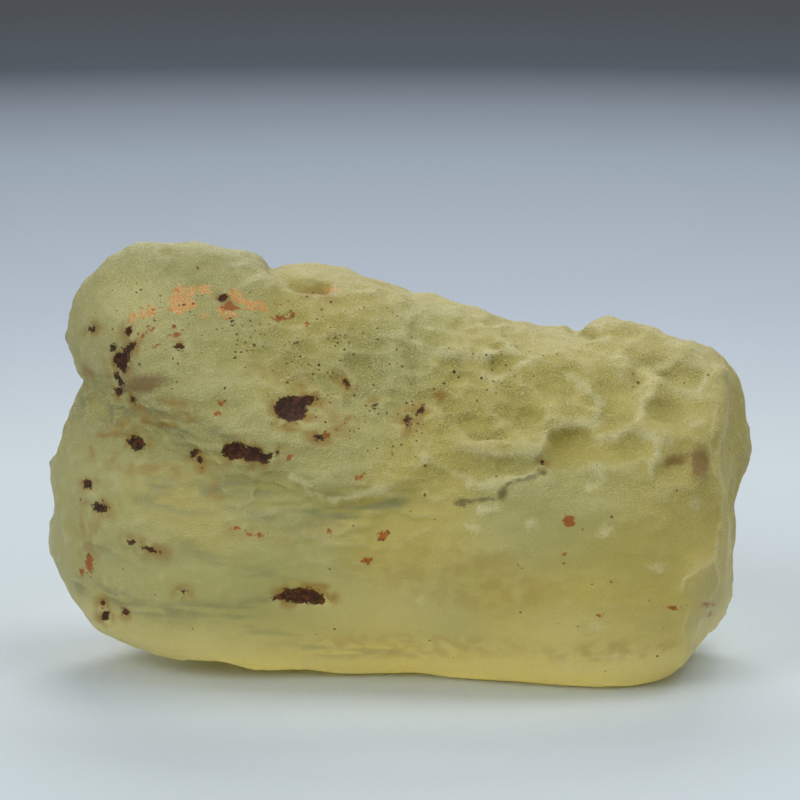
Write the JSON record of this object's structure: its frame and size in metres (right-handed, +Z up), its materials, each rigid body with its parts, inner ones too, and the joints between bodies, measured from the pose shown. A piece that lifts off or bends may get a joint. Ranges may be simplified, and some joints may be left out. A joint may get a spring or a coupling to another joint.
{
  "type": "libyan desert glass",
  "caption": "Wind-worn lump of pale yellow natural glass with a hammered skin, a low ledge and dark-filled pits; a display specimen that rests on a small flat spot.",
  "frame": {"origin": "centre of the bounding box at the level of the flat spot it rests on", "axes": "+X along the lump, its longest extent, towards the squarer end; +Y from the front to the back, its shortest extent; +Z up"},
  "size_m": [0.036, 0.0184, 0.0218],
  "materials": {
    "desert_glass": "frosted, cloudy pale yellow-green glass with brown and rust-coloured fills in its pits"
  },
  "bodies": {
    "root": {"desert_glass": "desert_glass"}
  },
  "joints": []
}
